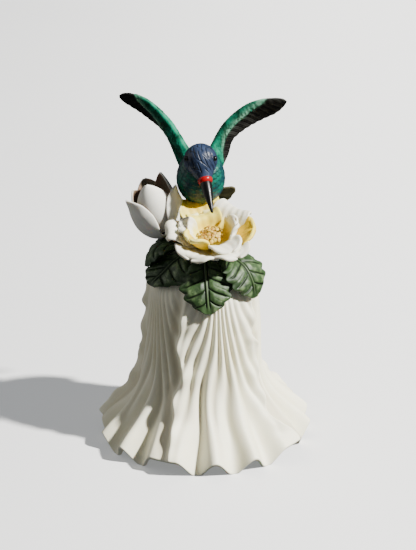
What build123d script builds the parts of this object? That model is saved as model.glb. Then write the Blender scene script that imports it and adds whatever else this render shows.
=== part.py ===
from build123d import *
import os
from math import cos, exp, pi, radians, sin

# A porcelain hand bell shaped like an upside-down trumpet flower. Five petals make the skirt. Leaves, an open
# flower, a bud and a hummingbird are applied on the crown, and a bead on a wire hangs inside as the clapper.
# Millimetres. +Z is up, -Y is the front, and the origin is on the table at the centre of the skirt's box.

# ---- Skirt ----
TUBE_X = -1.1  # the tube stands a little left of the hem's centre
TUBE_RADIUS = 20.2  # at SHOULDER_HEIGHT + 2
TUBE_TAPER = 0.06  # radius gained per millimetre on the way down
SHOULDER_HEIGHT = 58.0
DOME_HEIGHT = 16.0
CROWN_HOLE_RADIUS = 4.0
FLARE_RADIUS = 18.6  # what the flare adds to the tube's radius
FLARE_HEIGHT = 11.0  # height of the middle of the flare
FLARE_SPREAD = 6.5
HEM_HEIGHT = 2.1  # mean height of the hem before the low points are ground flat
WALL = 2.0
HEM_RUN_OUT = 0.75  # share of the ruffle that goes outwards at the hem's crests
HEM_RUN_UP = 0.9  # share of it that goes upwards there
RUFFLE = 2.7  # how far the hem's waves move the wall either way
RUFFLE_TOP = 42.0  # the waves die out at this height
SEAMS = [-94.0, -22.0, 57.0, 127.0, 196.0, 266.0]  # azimuths where two skirt petals meet, once round
WAVES_PER_PETAL = 3.7
WAVE_PLATEAU = 0.405  # past this distance from a petal's middle the hem stays high, up to the seam
HEM_SHIFT = (1.1, 0.0)  # puts the hem's box over the origin
SEAT_GAP = 0.06  # glaze and slip between the crown and what is applied on it
CROWN_EDGE = (TUBE_RADIUS + 2 * TUBE_TAPER + SEAT_GAP, SHOULDER_HEIGHT)

# ---- Clapper ----
PLUG_FLANGE_Z = (69.7, 70.9)
PLUG_FLANGE_RADIUS = 6.0
PLUG_TOP = 73.6
STAPLE_WIRE = 1.2
STAPLE_BAR_Z = 66.5
STAPLE_HALF_WIDTH = 2.6
STAPLE_BEND = 0.9
LINK_WIRE = 1.0
LINK_HALF_WIDTH = 2.6
LINK_LENGTH = 12.0
LINK_BEND = 0.8
WIRE_GAP = 0.08  # air between two hooked wires
ROD_EYE_RADIUS = 1.9  # of the eye's wire centre
BEAD_Z = 17.0
BEAD_RADIUS = 6.5
ROD_RADIUS = 0.8
GLUE_GAP = 0.04  # round the rod in the bead and round the plug in the crown
ROD_END_Z = 9.3
ROD_END_RADIUS = 1.3

# ---- Sprig ----
LEAF_THICKNESS = 1.5
PETAL_THICKNESS = 1.1
FLOWER_BASE = (1.9, -5.0, 76.6)
FLOWER_TILT = 21.0  # the flower faces up and this far towards the front
FLOWER_LEVEL = 0.95  # neighbouring outer petals lie this far above and below the middle of their ring
RECEPTACLE_RADIUS = 2.4
STAMENS = 13
STAMEN_WIRE = 0.3  # radius
STAMEN_FOOT = (1.45, 3.45)  # on the receptacle, as distance from its axis and height
STAMEN_LENGTH = 6.4
STAMEN_LEANS = (30, 10, 22)
ANTHER_RADIUS = 0.85
ANTHER_HEIGHT = 0.8  # above and below its widest place
BUD_BASE = (-14.6, 6.6, 77.6)
BUD_LEAN = (-0.34, -0.04, 0.94)
BUD_TURN = -50.0  # azimuth of its first outer petal
STEM_ROOT = (-5.2, 3.2, 73.0)
STEM_RADIUS = 1.7

# ---- Bird ----
BODY_CENTRE = (-2.0, 8.4, 98.4)
BODY_AXIS = (0.02, -0.46, 0.89)  # from the vent to the neck
HEAD_CENTRE = (-2.0, 2.0, 107.4)
HEAD_RADIUS = 6.1
BEAK_AIM = (0.197, -0.673, -0.711)
BAND_REACH = (7.6, 9.4)  # where the band starts and ends, from the head's centre
BEAK_REACH = 21.3
EYE_RADIUS = 1.0
EYE_AIM = (0.86, -0.45, 0.24)  # of the right eye, from the head's centre
WING_THICKNESS = 1.7
TAIL_PIVOT = (-1.0, 13.0, 91.0)
TAIL_AIM = (0.2, 0.6, -0.77)
TAIL_SIDE = (0.94, 0.0, 0.34)
TAIL_RADIUS = 12.0
TAIL_THICKNESS = 1.5
TAIL_START = 15.0  # angle of the fan's right edge from TAIL_SIDE
TAIL_SPREAD = 150.0
TAIL_FEATHERS = 8
FEATHER_RADIUS = 2.6  # of each feather's round end
FEATHER_INSET = 9.0  # angle from the fan's edges to the first and last feather's middle
PERCH_FOOT = (-2.2, 8.8, 72.6)
PERCH_TOP = (-2.4, 12.6, 91.0)
PERCH_RADIUS = 1.9
STANDING = (Align.CENTER, Align.CENTER, Align.MIN)


def spoke(base, azimuth):
    """Plane through a base plane's own axis, with x outwards and y along the axis. Azimuth 0 is the front."""
    a = radians(azimuth)
    out = base.x_dir * sin(a) - base.y_dir * cos(a)
    return Plane(origin=base.origin, x_dir=out, z_dir=out.cross(base.z_dir))


def upright(origin, axis):
    """Base plane at a point, with z along an axis and x as near to the object's +X as it can be."""
    z_dir = Vector(*axis).normalized()
    side = Vector(0, 1, 0).cross(z_dir)
    return Plane(origin=origin, x_dir=side, z_dir=z_dir)


def band(plane, width, thickness, sag):
    """Cross-section of a thin cupped blade, drawn on a plane: its edges stand above its middle by sag."""
    half, lip = width / 2, 0.3 * thickness
    with BuildSketch(plane) as section:
        with BuildLine():
            ThreePointArc((-half, sag - lip), (0, -thickness / 2), (half, sag - lip))
            Line((half, sag - lip), (half, sag + lip))
            ThreePointArc((half, sag + lip), (0, thickness / 2), (-half, sag + lip))
            Line((-half, sag + lip), (-half, sag - lip))
        make_face()
    return section.sketch


def blade(plane, stations, thickness):
    """A petal or leaf: a loft of bands square to a spine in a plane. A station is (out, up, width, sag)."""
    sections = []
    for index, (out, up, width, sag) in enumerate(stations):
        before = stations[max(index - 1, 0)]
        after = stations[min(index + 1, len(stations) - 1)]
        along = (plane.x_dir * (after[0] - before[0]) + plane.y_dir * (after[1] - before[1])).normalized()
        origin = plane.from_local_coords(Vector(out, up, 0))
        square = Plane(origin=origin, x_dir=-plane.z_dir, z_dir=along)
        sections.append(band(square, width, thickness, sag))
    with BuildPart() as lofted:
        loft(sections)
    return lofted.part


def fitted(piece, *neighbours):
    """A piece cut back to where its neighbours start, without any crumb that the cut leaves loose."""
    with BuildPart() as trimmed:
        add(piece)
        for neighbour in neighbours:
            add(neighbour, mode=Mode.SUBTRACT)
    with BuildPart() as whole:
        add(trimmed.part.solids().sort_by(SortBy.VOLUME)[-1])
    return whole.part


# ---- The skirt's wall ----


def flare(height):
    return 1 / (1 + exp((height - FLARE_HEIGHT) / FLARE_SPREAD))


def tube_profile(height):
    return TUBE_RADIUS + TUBE_TAPER * (SHOULDER_HEIGHT + 2 - height) + FLARE_RADIUS * flare(height)


def wave(azimuth):
    """The hem's wave at an azimuth: 1 at its low points and -1 at the crests and along each seam."""
    turned = (azimuth - SEAMS[0]) % 360 + SEAMS[0]
    for start, end in zip(SEAMS, SEAMS[1:]):
        if turned <= end:
            across = (turned - start) / (end - start) - 0.5
            break
    return cos(2 * pi * WAVES_PER_PETAL * min(abs(across), WAVE_PLATEAU))


def wall_profile(azimuth):
    """Outer and inner points of the wall at an azimuth, from the hem up, as (radius, height)."""
    shift = HEM_SHIFT[0] * sin(radians(azimuth)) - HEM_SHIFT[1] * cos(radians(azimuth))
    outer, inner = [], []
    for height in (HEM_HEIGHT, 5, 9, 13, 18, 24, 31, 40, 49, SHOULDER_HEIGHT):
        slope = (tube_profile(height + 0.1) - tube_profile(height - 0.1)) / 0.2
        normal = Vector(1, -slope).normalized()
        reach = RUFFLE * max(0, (RUFFLE_TOP - height) / RUFFLE_TOP) ** 1.5 * wave(azimuth)
        open_out = flare(height) / flare(0)
        radius = tube_profile(height) - HEM_RUN_OUT * reach + shift * open_out
        level = height - HEM_RUN_UP * reach * open_out
        outer.append((radius, level))
        inner.append((radius - WALL * normal.X, level - WALL * normal.Y))
    dome_radius = tube_profile(SHOULDER_HEIGHT)
    for angle in (22, 44, 62, 74):
        outer.append((dome_radius * cos(radians(angle)), SHOULDER_HEIGHT + DOME_HEIGHT * sin(radians(angle))))
        inner.append(
            (
                (dome_radius - WALL) * cos(radians(angle)),
                SHOULDER_HEIGHT + (DOME_HEIGHT - WALL) * sin(radians(angle)),
            )
        )
    outer.append((CROWN_HOLE_RADIUS, SHOULDER_HEIGHT + DOME_HEIGHT - 0.3))
    inner.append((CROWN_HOLE_RADIUS, SHOULDER_HEIGHT + DOME_HEIGHT - WALL - 0.3))
    return outer, inner


def skirt_half(first):
    """Half of the skirt's wall, as a loft of its upright sections from one azimuth to half a turn on."""
    with BuildPart() as half:
        for step in range(SECTIONS_PER_HALF + 1):
            azimuth = first + 180 * step / SECTIONS_PER_HALF
            outer, inner = wall_profile(azimuth)
            with BuildSketch(spoke(TUBE, azimuth)):
                with BuildLine():
                    Spline(*outer)
                    Line(outer[-1], inner[-1])
                    Spline(*reversed(inner))
                    Line(inner[0], outer[0])
                make_face()
        loft()
    return half.part


SECTIONS_PER_HALF = 36
TUBE = Plane((TUBE_X, 0, 0))

halves = [skirt_half(SEAMS[1]), skirt_half(SEAMS[1] + 180)]
wall_faces = [face for half in halves for face in half.faces() if face.geom_type != GeomType.PLANE]
with BuildPart() as bell_skirt:
    add(Solid(Shell(wall_faces)))
    split(bisect_by=Plane.XY, keep=Keep.TOP)

# The crown's outside, as a solid dome that the sprig's pieces are hollowed by so that they sit on it.
with BuildPart() as crown_form:
    with BuildSketch(spoke(TUBE, 90)):
        with BuildLine():
            Line((0, SHOULDER_HEIGHT - 4), (tube_profile(SHOULDER_HEIGHT) + SEAT_GAP, SHOULDER_HEIGHT - 4))
            Line((tube_profile(SHOULDER_HEIGHT) + SEAT_GAP, SHOULDER_HEIGHT - 4), CROWN_EDGE)
            EllipticalCenterArc((0, SHOULDER_HEIGHT), CROWN_EDGE[0], DOME_HEIGHT + SEAT_GAP, arc_size=90)
            Line((0, SHOULDER_HEIGHT + DOME_HEIGHT + SEAT_GAP), (0, SHOULDER_HEIGHT - 4))
        make_face()
    revolve(axis=Axis((TUBE_X, 0, 0), (0, 0, 1)))

# ---- The clapper: plug, staple, link, rod and bead ----

with BuildPart() as crown_plug:
    with Locations((TUBE_X, 0, PLUG_FLANGE_Z[0])):
        Cylinder(PLUG_FLANGE_RADIUS, PLUG_FLANGE_Z[1] - PLUG_FLANGE_Z[0], align=STANDING)
    with Locations((TUBE_X, 0, PLUG_FLANGE_Z[1])):
        Cylinder(CROWN_HOLE_RADIUS - GLUE_GAP, PLUG_TOP - PLUG_FLANGE_Z[1], align=STANDING)

with BuildPart() as hanger_staple:
    with BuildLine(Plane.XZ.move(Location((TUBE_X, 0, 0)))) as staple_path:
        FilletPolyline(
            (-STAPLE_HALF_WIDTH, PLUG_FLANGE_Z[0]),
            (-STAPLE_HALF_WIDTH, STAPLE_BAR_Z),
            (STAPLE_HALF_WIDTH, STAPLE_BAR_Z),
            (STAPLE_HALF_WIDTH, PLUG_FLANGE_Z[0]),
            radius=STAPLE_BEND,
        )
    with BuildSketch(Plane(staple_path.line @ 0, z_dir=staple_path.line % 0)):
        Circle(STAPLE_WIRE / 2)
    sweep()

LINK_TOP_Z = STAPLE_BAR_Z + (STAPLE_WIRE + LINK_WIRE) / 2 + WIRE_GAP
LINK_BOTTOM_Z = LINK_TOP_Z - LINK_LENGTH
link_middle = (TUBE_X, 0, (LINK_TOP_Z + LINK_BOTTOM_Z) / 2)
with BuildSketch(Plane(link_middle, x_dir=(0, 1, 0), z_dir=(1, 0, 0))) as loop:
    RectangleRounded(2 * LINK_HALF_WIDTH, LINK_LENGTH, LINK_BEND)
link_path = loop.sketch.face().outer_wire()
with BuildPart() as clapper_link:
    with BuildSketch(Plane(link_path @ 0, z_dir=link_path % 0)):
        Circle(LINK_WIRE / 2)
    sweep(path=link_path)

ROD_EYE_Z = LINK_BOTTOM_Z + LINK_WIRE + WIRE_GAP - ROD_EYE_RADIUS
with BuildPart() as clapper_rod:
    with Locations(Location((TUBE_X, 0, ROD_EYE_Z), (90, 0, 0))):
        Torus(ROD_EYE_RADIUS, LINK_WIRE / 2)
    with Locations((TUBE_X, 0, ROD_END_Z)):
        Cylinder(ROD_RADIUS, ROD_EYE_Z - ROD_EYE_RADIUS - ROD_END_Z, align=STANDING)
        Sphere(ROD_END_RADIUS)

with BuildPart() as clapper_bead:
    with Locations((TUBE_X, 0, BEAD_Z)):
        Sphere(BEAD_RADIUS)
        Cylinder(ROD_RADIUS + GLUE_GAP, 3 * BEAD_RADIUS, mode=Mode.SUBTRACT)

# ---- The sprig's flower ----

FLOWER = upright(FLOWER_BASE, (0, -sin(radians(FLOWER_TILT)), cos(radians(FLOWER_TILT))))

with BuildPart() as flower_calyx:
    with BuildSketch(spoke(FLOWER, 90)):
        with BuildLine():
            Polyline((0, -4.2), (4.4, -4.2), (5.6, -1.8), (RECEPTACLE_RADIUS, -1.4), (RECEPTACLE_RADIUS, 3.0))
            RadiusArc((RECEPTACLE_RADIUS, 3.0), (0, 3.6), -5.1)
            Line((0, 3.6), (0, -4.2))
        make_face()
    revolve(axis=Axis(FLOWER_BASE, FLOWER.z_dir))
    add(crown_form.part, mode=Mode.SUBTRACT)

# Outer petals lie open and overlap, so that every other one is raised. Each has its azimuth, a width factor,
# a length factor and 1 where it is a raised one.
outer_petals = {
    "petal_outer_front": (-24, 1.08, 0.88, 0),
    "petal_outer_front_right": (36, 0.98, 0.92, 1),
    "petal_outer_right": (91, 0.92, 0.89, 0),
    "petal_outer_back_right": (145, 0.93, 0.9, 1),
    "petal_outer_back_left": (-157, 0.88, 0.97, 0),
    "petal_outer_left": (-85, 0.76, 0.87, 1),
}
# Inner petals stand as a cup. Each has its azimuth, a width factor, a height factor and 1 where it stands
# outside its neighbours or -1 inside them.
inner_petals = {
    "petal_inner_front": (-32, 0.95, 0.85, 1),
    "petal_inner_front_right": (35, 1.0, 0.82, -1),
    "petal_inner_right": (101, 1.1, 0.94, 1),
    "petal_inner_back": (-150, 1.15, 0.86, 1),
    "petal_inner_left": (-87, 0.78, 0.84, -1),
}
nodes = {}
for name, (azimuth, broad, long, raised) in outer_petals.items():
    level = FLOWER_LEVEL if raised else -FLOWER_LEVEL
    stations = [
        (2.0, level, 3.2 * broad, 0.3),
        (8.0 * long, level + 2.0, 10.0 * broad, 0.8),
        (13.0 * long, level + 5.2, 15.5 * broad, 1.4),
        (16.6 * long, level + 7.2, 14.5 * broad, 1.0),
        (18.3 * long, level + 6.6, 7.5 * broad, 0.2),
    ]
    nodes[name] = fitted(blade(spoke(FLOWER, azimuth), stations, PETAL_THICKNESS), flower_calyx.part)
for name, (azimuth, broad, tall, outside) in inner_petals.items():
    stations = [
        (2.0, 3.0 - 0.4 * outside, 3.0 * broad, 0.3),
        (5.7 + 0.7 * outside, 4.4, 7.4 * broad, 1.0),
        (8.4 + 0.7 * outside, 8.4 * tall, 11.0 * broad, 2.2),
        (9.6 + 0.7 * outside, 12.6 * tall, 6.0 * broad, 0.6),
    ]
    nodes[name] = fitted(blade(spoke(FLOWER, azimuth), stations, PETAL_THICKNESS), flower_calyx.part)

with BuildPart() as stamens:
    for index in range(STAMENS):
        lean = radians(STAMEN_LEANS[index % len(STAMEN_LEANS)])
        side = spoke(FLOWER, 360 * index / STAMENS)
        along = side.x_dir * sin(lean) + side.y_dir * cos(lean)
        foot = side.from_local_coords(Vector(*STAMEN_FOOT))
        with BuildSketch(spoke(upright(foot, along), 90)):
            with BuildLine():
                neck, top = STAMEN_LENGTH - ANTHER_HEIGHT, STAMEN_LENGTH + ANTHER_HEIGHT
                Polyline((0, top), (0, 0), (STAMEN_WIRE, 0), (STAMEN_WIRE, neck))
                Polyline((STAMEN_WIRE, neck), (ANTHER_RADIUS, STAMEN_LENGTH), (0, top))
            make_face()
        revolve(axis=Axis(foot, along))

# ---- The bud ----

BUD = upright(BUD_BASE, BUD_LEAN)
STEM_RUN = Vector(*BUD_BASE) - Vector(*STEM_ROOT)
with BuildPart() as bud_stem:
    with BuildSketch(spoke(upright(STEM_ROOT, STEM_RUN), 90)):
        with BuildLine():
            Polyline((0, 0), (STEM_RADIUS, 0), (STEM_RADIUS, STEM_RUN.length - 1.5))
            ThreePointArc(
                (STEM_RADIUS, STEM_RUN.length - 1.5),
                (STEM_RADIUS * 1.25, STEM_RUN.length),
                (STEM_RADIUS * 0.9, STEM_RUN.length + 1.5),
            )
            Polyline((STEM_RADIUS * 0.9, STEM_RUN.length + 1.5), (0, STEM_RUN.length + 1.5), (0, 0))
        make_face()
    revolve(axis=Axis(STEM_ROOT, STEM_RUN))
    add(crown_form.part, mode=Mode.SUBTRACT)

for index in range(3):
    outer_stations = [(1.6, 0.4, 4, 0.4), (6.2, 2.4, 10, 1.6), (9.2, 7.5, 14.5, 3.4), (9.9, 13.5, 12.5, 2.6)]
    outer_stations.append((10.4, 18.5, 3.5, 0.3))
    inner_stations = [(1.6, 2.2, 3.5, 0.4), (5.0, 4.0, 8, 1.4), (7.4, 8.8, 12, 3.0), (7.8, 15, 10.5, 2.4)]
    inner_stations.append((7.2, 21.5, 3, 0.3))
    outer_petal = blade(spoke(BUD, BUD_TURN + 120 * index), outer_stations, PETAL_THICKNESS)
    inner_petal = blade(spoke(BUD, BUD_TURN + 60 + 120 * index), inner_stations, PETAL_THICKNESS)
    nodes[f"bud_petal_outer_{index + 1}"] = fitted(outer_petal, bud_stem.part)
    nodes[f"bud_petal_inner_{index + 1}"] = fitted(inner_petal, bud_stem.part)

# ---- The bird ----

with BuildPart() as eyes:
    for side in (1, -1):
        aim = Vector(EYE_AIM[0] * side, EYE_AIM[1], EYE_AIM[2]).normalized()
        with Locations(Vector(*HEAD_CENTRE) + aim * (HEAD_RADIUS - 0.3)):
            Sphere(EYE_RADIUS)

with BuildPart() as bird_head:
    with BuildSketch(spoke(upright(HEAD_CENTRE, BEAK_AIM), 90)):
        with BuildLine():
            CenterArc((0, 0), HEAD_RADIUS, -90, 130)
            Spline(
                (HEAD_RADIUS * cos(radians(40)), HEAD_RADIUS * sin(radians(40))),
                (2.5, BAND_REACH[0]),
                tangents=((-sin(radians(40)), cos(radians(40))), (-0.3, 1)),
            )
            Polyline((2.5, BAND_REACH[0]), (0, BAND_REACH[0]), (0, -HEAD_RADIUS))
        make_face()
    revolve(axis=Axis(HEAD_CENTRE, BEAK_AIM))
    add(eyes.part, mode=Mode.SUBTRACT)

with BuildPart() as beak_band:
    with BuildSketch(spoke(upright(HEAD_CENTRE, BEAK_AIM), 90)):
        with BuildLine():
            Line((0, BAND_REACH[0]), (2.5, BAND_REACH[0]))
            ThreePointArc((2.5, BAND_REACH[0]), (2.6, sum(BAND_REACH) / 2), (2.1, BAND_REACH[1]))
            Polyline((2.1, BAND_REACH[1]), (0, BAND_REACH[1]), (0, BAND_REACH[0]))
        make_face()
    revolve(axis=Axis(HEAD_CENTRE, BEAK_AIM))

with BuildPart() as beak:
    with BuildSketch(spoke(upright(HEAD_CENTRE, BEAK_AIM), 90)):
        with BuildLine():
            Line((0, BAND_REACH[1]), (1.75, BAND_REACH[1]))
            Spline((1.75, BAND_REACH[1]), (1.3, 15.0), (0.4, BEAK_REACH))
            Polyline((0.4, BEAK_REACH), (0, BEAK_REACH), (0, BAND_REACH[1]))
        make_face()
    revolve(axis=Axis(HEAD_CENTRE, BEAK_AIM))

with BuildPart() as bird_body:
    with BuildSketch(spoke(upright(BODY_CENTRE, BODY_AXIS), 90)):
        with BuildLine():
            outline = [(0, -10.3), (5.9, -7.2), (8.6, -0.6), (7.6, 5.0), (5.4, 9.0), (0, 12.0)]
            Spline(*outline, tangents=((1, 0), (-1, 0)))
            Line((0, 12.0), (0, -10.3))
        make_face()
    revolve(axis=Axis(BODY_CENTRE, BODY_AXIS))
    add(bird_head.part, mode=Mode.SUBTRACT)

with BuildPart() as bird_support:
    with BuildSketch(Plane(origin=PERCH_FOOT, z_dir=Vector(*PERCH_TOP) - Vector(*PERCH_FOOT))):
        Circle(PERCH_RADIUS)
    extrude(amount=(Vector(*PERCH_TOP) - Vector(*PERCH_FOOT)).length)
    add(crown_form.part, mode=Mode.SUBTRACT)
    add(bird_body.part, mode=Mode.SUBTRACT)


def wing(stations):
    """A wing as a loft of thin bands. A station is its leading point, trailing point and sag."""
    sections = []
    for index, (lead, trail, sag) in enumerate(stations):
        before = stations[max(index - 1, 0)]
        after = stations[min(index + 1, len(stations) - 1)]
        chord = Vector(*trail) - Vector(*lead)
        across = chord.normalized()
        span = Vector(*after[0]) + Vector(*after[1]) - Vector(*before[0]) - Vector(*before[1])
        along = (span - across * span.dot(across)).normalized()
        middle = (Vector(*lead) + Vector(*trail)) * 0.5
        square = Plane(origin=middle, x_dir=across, z_dir=along)
        sections.append(band(square, chord.length, WING_THICKNESS, sag))
    with BuildPart() as lofted:
        loft(sections)
    return lofted.part


# Leading and trailing points from the shoulder, inside the body, out to the tip.
nodes["wing_right"] = wing(
    [
        ((-0.5, 6.0, 105.5), (4.2, 12.0, 98.0), 0.2),
        ((3.2, 10.6, 113.3), (9.6, 14.0, 110.8), 0.5),
        ((7.2, 11.0, 119.2), (12.0, 14.0, 113.2), 0.8),
        ((14.6, 11.2, 125.3), (17.4, 14.2, 117.2), 0.9),
        ((22.5, 11.2, 127.7), (23.3, 13.8, 120.6), 0.7),
        ((29.0, 11.4, 127.2), (28.6, 12.8, 124.8), 0.2),
    ]
)
nodes["wing_left"] = wing(
    [
        ((-3.4, 6.0, 105.5), (-8.2, 12.0, 98.0), -0.2),
        ((-8.0, 9.8, 110.8), (-12.4, 14.2, 107.6), -0.5),
        ((-12.2, 9.6, 117.0), (-16.0, 14.8, 113.8), -0.8),
        ((-17.6, 9.8, 123.8), (-20.9, 14.8, 118.9), -0.9),
        ((-23.6, 10.6, 128.3), (-25.8, 14.2, 122.8), -0.7),
        ((-31.2, 11.6, 129.0), (-31.0, 13.2, 126.6), -0.2),
    ]
)

TAIL = Plane(origin=TAIL_PIVOT, x_dir=TAIL_SIDE, z_dir=Vector(*TAIL_SIDE).cross(Vector(*TAIL_AIM)))
with BuildPart() as bird_tail:
    with BuildSketch(TAIL):
        with BuildLine():
            rim = CenterArc((0, 0), TAIL_RADIUS - FEATHER_RADIUS + 1.0, TAIL_START, TAIL_SPREAD)
            Polyline(rim @ 0, (0, 0), rim @ 1)
        make_face()
        fan = (TAIL_START + FEATHER_INSET, TAIL_SPREAD - 2 * FEATHER_INSET)
        with PolarLocations(TAIL_RADIUS - FEATHER_RADIUS, TAIL_FEATHERS, *fan, endpoint=True):
            Circle(FEATHER_RADIUS)
    extrude(amount=TAIL_THICKNESS / 2, both=True)
    add(bird_body.part, mode=Mode.SUBTRACT)
    add(bird_support.part, mode=Mode.SUBTRACT)

# ---- The sprig's leaves ----

draped = [(9.4, 73.3, 6, -0.2), (13.9, 71.4, 14, -0.8), (18.3, 67.6, 16, -1.2), (21.3, 62.2, 10, -0.6)]
held_out = [(9.4, 73.4, 6, -0.2), (14.0, 73.2, 13, -0.8), (18.6, 71.4, 16, -1.2), (21.7, 66.4, 11, -0.6)]
leaves = {
    "leaf_front": (5, draped + [(22.1, 57.2, 2, 0)]),
    "leaf_front_left": (-53, draped[:3] + [(21.0, 64.4, 11, -0.6), (21.7, 62.2, 2.4, 0)]),
    "leaf_left": (-92, held_out[:2] + [(17.6, 72.2, 14, -1), (19.8, 69.6, 9, -0.5), (20.4, 67.0, 2.4, 0)]),
    "leaf_right": (54, held_out + [(22.0, 60.0, 2.4, 0)]),
    "leaf_back_right": (112, draped + [(22.1, 58.0, 2.4, 0)]),
    "leaf_back": (168, draped + [(22.1, 57.6, 2.4, 0)]),
    "leaf_back_left": (-140, draped + [(22.1, 58.4, 2.4, 0)]),
}
for name, (azimuth, stations) in leaves.items():
    nodes[name] = blade(spoke(TUBE, azimuth), stations, LEAF_THICKNESS)

# ---- What rests against what ----

BUD_NEIGHBOURS = ("outer_1", "outer_2", "inner_1", "inner_2")
touching = {
    "petal_outer_back_left": [bird_body.part, *(nodes[f"bud_petal_{place}"] for place in BUD_NEIGHBOURS)],
    "petal_outer_back_right": [bird_body.part],
    "petal_inner_front_right": [nodes["petal_inner_front"], nodes["petal_inner_right"]],
    "wing_right": [bird_body.part, bird_head.part],
    "wing_left": [bird_body.part, bird_head.part],
    "leaf_front_left": [nodes["leaf_front"]],
    "leaf_back_left": [bud_stem.part],
    "leaf_left": [bud_stem.part, nodes["leaf_front_left"], nodes["leaf_back_left"]],
    "leaf_front": [flower_calyx.part],
    "leaf_right": [flower_calyx.part],
    "leaf_back": [bird_support.part, nodes["leaf_back_left"], nodes["leaf_back_right"]],
}
for name, neighbours in touching.items():
    nodes[name] = fitted(nodes[name], *neighbours)

nodes.update(
    bell_skirt=bell_skirt.part,
    crown_plug=crown_plug.part,
    hanger_staple=hanger_staple.part,
    clapper_link=clapper_link.part,
    clapper_rod=clapper_rod.part,
    clapper_bead=clapper_bead.part,
    flower_calyx=flower_calyx.part,
    stamens=stamens.part,
    bud_stem=bud_stem.part,
    bird_body=bird_body.part,
    bird_head=bird_head.part,
    bird_support=bird_support.part,
    bird_tail=bird_tail.part,
    beak=beak.part,
    beak_band=beak_band.part,
    eyes=eyes.part,
)
os.makedirs("parts", exist_ok=True)
for name, piece in nodes.items():
    piece.label = name
    export_step(piece, f"parts/{name}.step")
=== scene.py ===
import math

import bpy
import numpy as np
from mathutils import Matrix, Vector


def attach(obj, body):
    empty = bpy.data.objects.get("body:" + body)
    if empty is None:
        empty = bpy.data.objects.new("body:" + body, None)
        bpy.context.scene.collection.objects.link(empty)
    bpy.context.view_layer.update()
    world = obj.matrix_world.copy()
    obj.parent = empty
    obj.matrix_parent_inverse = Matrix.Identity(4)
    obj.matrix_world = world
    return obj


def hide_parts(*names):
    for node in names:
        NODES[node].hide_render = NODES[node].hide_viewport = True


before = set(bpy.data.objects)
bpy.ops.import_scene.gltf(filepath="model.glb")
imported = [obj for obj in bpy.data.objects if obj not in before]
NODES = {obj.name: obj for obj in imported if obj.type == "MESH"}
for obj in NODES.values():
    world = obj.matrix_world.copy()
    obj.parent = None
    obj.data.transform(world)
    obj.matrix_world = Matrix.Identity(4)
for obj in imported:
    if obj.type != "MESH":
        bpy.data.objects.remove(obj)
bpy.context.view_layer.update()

# A porcelain bell with a sprig and a hummingbird on its crown. Shapes are worked out in millimetres, in the
# frame's own axes, and turned into metres where a mesh is made.

MM = 0.001
TINY = 1e-9


# ---- Curves, frames and noise ----


def hermite(knots, values, t):
    """Smooth curve through values at knots, read at t, which can be an array of any shape."""
    knots, values = np.asarray(knots, float), np.asarray(values, float)
    slopes = np.gradient(values, knots, axis=0)
    t = np.asarray(t, float)
    i = np.clip(np.searchsorted(knots, t, side="right") - 1, 0, len(knots) - 2)
    span = knots[i + 1] - knots[i]
    s = np.clip((t - knots[i]) / span, 0, 1)
    if values.ndim > 1:
        s, span = s[..., None], span[..., None]
    first = values[i] * (1 + 2 * s) * (1 - s) ** 2 + slopes[i] * span * s * (1 - s) ** 2
    return first + values[i + 1] * s**2 * (3 - 2 * s) + slopes[i + 1] * span * s**2 * (s - 1)


def through(points, t):
    """Smooth curve through points, read at t from 0 to 1 along its length."""
    points = np.asarray(points, float)
    steps = np.linalg.norm(np.diff(points, axis=0), axis=1)
    knots = np.concatenate([[0], np.cumsum(steps)])
    return hermite(knots / knots[-1], points, t)


def along(pairs, t):
    """Smooth number read at t from (place, value) pairs."""
    places, values = zip(*pairs)
    return hermite(places, values, t)


def ramp(t, start, end):
    """0 before start, 1 after end and smooth between them."""
    s = np.clip((t - start) / (end - start), 0, 1)
    return s * s * (3 - 2 * s)


def ridge(distance, width):
    """A rounded bump, 1 at no distance and gone a few widths away."""
    return np.exp(-((distance / width) ** 2))


def heading(points, t):
    """Unit direction of the smooth curve through points at t."""
    return unit(through(points, np.clip(t + 0.01, 0, 1)) - through(points, np.clip(t - 0.01, 0, 1)))


def unit(vector):
    vector = np.asarray(vector, float)
    return vector / np.linalg.norm(vector, axis=-1, keepdims=True)


def value_noise(points, seed):
    """Repeatable smooth noise from 0 to 1 at an array of points, one unit between its knots."""
    points = np.asarray(points, float)
    cell = np.floor(points).astype(np.int64)
    part = points - cell
    part = part * part * (3 - 2 * part)
    total = 0
    for corner in range(8):
        step = np.array([corner & 1, (corner >> 1) & 1, corner >> 2])
        at = cell + step
        mixed = (at[..., 0] * 73856093) ^ (at[..., 1] * 19349663) ^ (at[..., 2] * 83492791)
        mixed = mixed ^ (seed * 2654435761)
        mixed = (mixed ^ (mixed >> 13)) * 1274126177
        value = ((mixed ^ (mixed >> 16)) & 0xFFFF) / 0xFFFF
        weight = np.prod(np.where(step, part, 1 - part), axis=-1)
        total = total + value * weight
    return total


class Base:
    """A point with an axis, from which spokes reach out. Azimuth 0 is the front and 90 the right."""

    def __init__(self, origin, axis=(0, 0, 1)):
        self.origin = np.array(origin, float)
        self.z = unit(axis)
        self.x = unit(np.cross((0, 1, 0), self.z))
        self.y = np.cross(self.z, self.x)

    def out(self, azimuth):
        """Unit spokes at azimuths, square to the axis."""
        a = np.radians(azimuth)
        return np.sin(a)[..., None] * self.x - np.cos(a)[..., None] * self.y

    def at(self, azimuth, radius, height):
        """Points at cylindrical coordinates round the axis."""
        azimuth, radius, height = np.broadcast_arrays(azimuth, radius, height)
        azimuth = np.asarray(azimuth, float)
        return self.origin + self.out(azimuth) * radius[..., None] + self.z * height[..., None]


# ---- Meshes ----


def add_object(name, data):
    """A new object in the scene."""
    added = bpy.data.objects.new(name, data)
    bpy.context.scene.collection.objects.link(added)
    return added


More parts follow.
